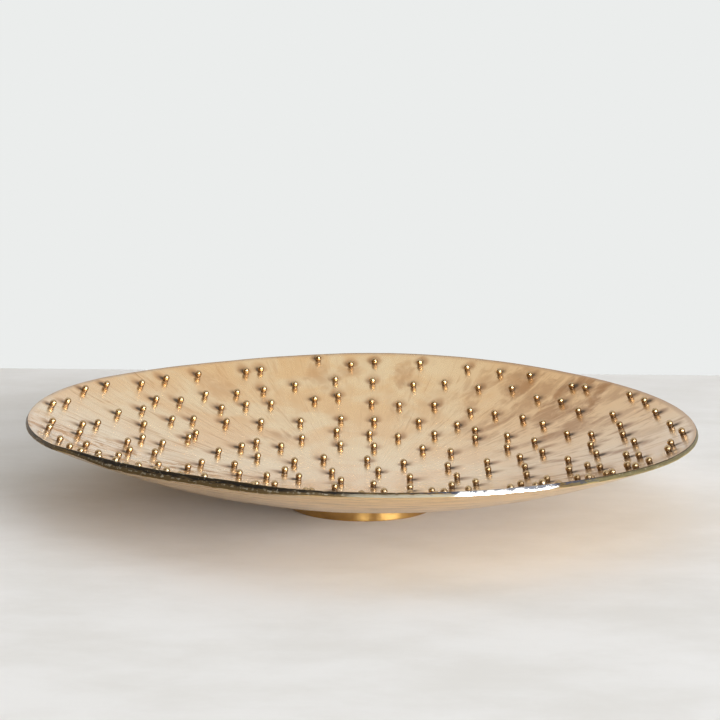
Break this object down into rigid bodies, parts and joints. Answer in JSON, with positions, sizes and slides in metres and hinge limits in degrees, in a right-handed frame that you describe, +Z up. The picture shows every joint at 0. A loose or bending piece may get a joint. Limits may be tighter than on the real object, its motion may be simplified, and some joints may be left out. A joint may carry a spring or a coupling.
{
  "type": "brass dish",
  "caption": "Shallow round footed brass dish with a plain sawn rim and loose rings of small ball studs over its inner face.",
  "frame": {"origin": "middle of the foot's underside, on the surface that the dish stands on", "axes": "+Z up, out of the bowl; +X to the right and -Y towards the viewer, though the dish is round"},
  "size_m": [0.5, 0.5, 0.071],
  "materials": {
    "polished_brass": "polished, with soft brown smears and fine hand-rubbed streaks; the sawn rim edge is dark and rough",
    "satin_brass": "satin, turned",
    "stud_brass": "polished"
  },
  "bodies": {
    "root": {"dish": "polished_brass", "foot": "satin_brass", "stud_ring_1": "stud_brass", "stud_ring_2": "stud_brass", "stud_ring_3": "stud_brass", "stud_ring_4": "stud_brass", "stud_ring_5": "stud_brass", "stud_ring_6": "stud_brass", "stud_ring_7": "stud_brass", "stud_ring_8": "stud_brass", "stud_ring_9": "stud_brass"}
  },
  "joints": []
}
